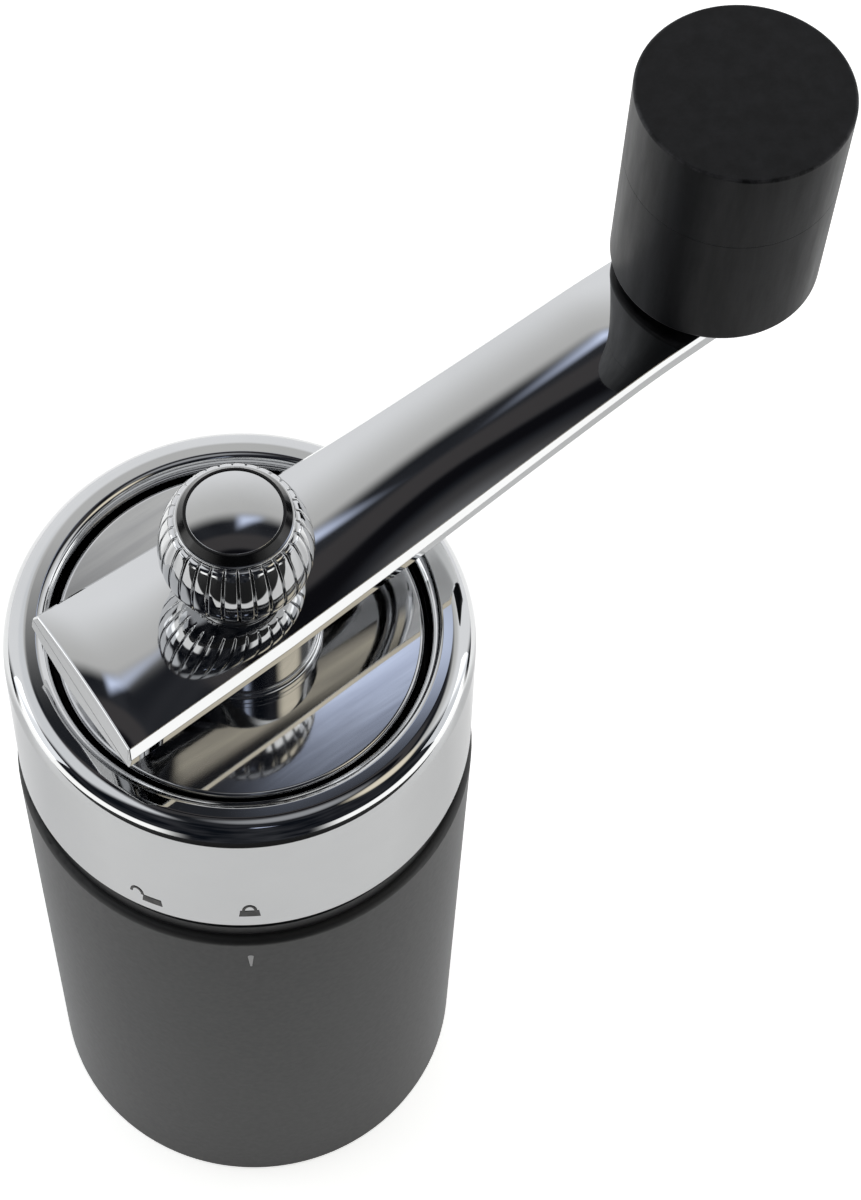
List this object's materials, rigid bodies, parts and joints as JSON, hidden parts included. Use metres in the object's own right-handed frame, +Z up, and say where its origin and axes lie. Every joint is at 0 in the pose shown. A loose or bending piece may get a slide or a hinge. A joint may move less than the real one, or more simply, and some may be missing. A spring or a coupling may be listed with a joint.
{
  "type": "nutmeg grinder",
  "caption": "Hand-cranked nutmeg grinder: soft grey tube body, polished twist-off head, swept crank arm with a round knob, fluted cap nut, and a sprung claw over a steel grater inside.",
  "frame": {"origin": "centre of the foot, on the surface the grinder stands on", "axes": "+Z up along the crank's axis, index mark towards -Y, crank arm at rest towards +X and +Y"},
  "size_m": [0.0891, 0.0717, 0.1404],
  "materials": {
    "soft_touch_grey": "soft-touch satin coating",
    "grey_plastic": "moulded",
    "black_plastic": "moulded",
    "seal_rubber": "moulded",
    "grater_steel": "punched",
    "steel": "turned",
    "bush_brass": "turned",
    "white_nylon": "moulded",
    "polished_chrome": "polished",
    "satin_black": "satin turned",
    "gloss_black": "gloss"
  },
  "bodies": {
    "base": {"body_shell": "soft_touch_grey", "inner_sleeve": "grey_plastic", "bayonet_collar": "black_plastic", "neck_seal": "seal_rubber", "grater_plate": "grater_steel", "grater_screws": "steel", "base_screws": "steel"},
    "head": {"head_ring": "polished_chrome", "head_carrier": "black_plastic", "bearing_bush": "bush_brass"},
    "crank": {"drive_shaft": "steel", "thrust_washer": "white_nylon", "shaft_circlip": "steel", "spring_seat": "steel", "claw_spring": "steel", "cover_disc": "polished_chrome", "hub_boss": "polished_chrome", "crank_arm": "polished_chrome", "knob_axle": "steel", "knob_washer": "black_plastic"},
    "claw": {"claw_plate": "black_plastic", "claw_stem": "steel", "stem_pin": "steel", "claw_spikes": "steel"},
    "knob": {"knob_body": "satin_black", "knob_cap": "satin_black", "knob_bush": "white_nylon"},
    "nut_lift": {"nut_washer": "steel"},
    "nut": {"cap_nut": "polished_chrome", "nut_ring": "gloss_black", "nut_medallion": "polished_chrome"}
  },
  "joints": [
    {"name": "head_twist", "type": "hinge", "parent": "base", "child": "head", "pos_m": [0, 0, 0.0791], "axis": [0, 0, 1], "range_deg": [0, 25]},
    {"name": "crank_spin", "type": "hinge", "parent": "head", "child": "crank", "pos_m": [0, 0, 0.09], "axis": [0, 0, 1], "continuous": true},
    {"name": "knob_spin", "type": "hinge", "parent": "crank", "child": "knob", "pos_m": [0.05252, 0.03516, 0.12], "axis": [0, 0, 1], "continuous": true},
    {"name": "claw_slide", "type": "slide", "parent": "crank", "child": "claw", "axis": [0, 0, 1], "range_m": [0, 0.022], "stiffness_N_per_m": 150, "springref_m": -0.02, "deforming": ["claw_spring"]},
    {"name": "nut_rise", "type": "slide", "parent": "crank", "child": "nut_lift", "axis": [0, 0, 1], "range_m": [0, 0.0064]},
    {"name": "nut_turn", "type": "hinge", "parent": "nut_lift", "child": "nut", "pos_m": [0, 0, 0.115], "axis": [0, 0, 1], "range_deg": [0, 2881]}
  ],
  "couplings": [
    {"joint": "nut_turn", "follows": "nut_rise", "rad_per_m": 7854}
  ]
}
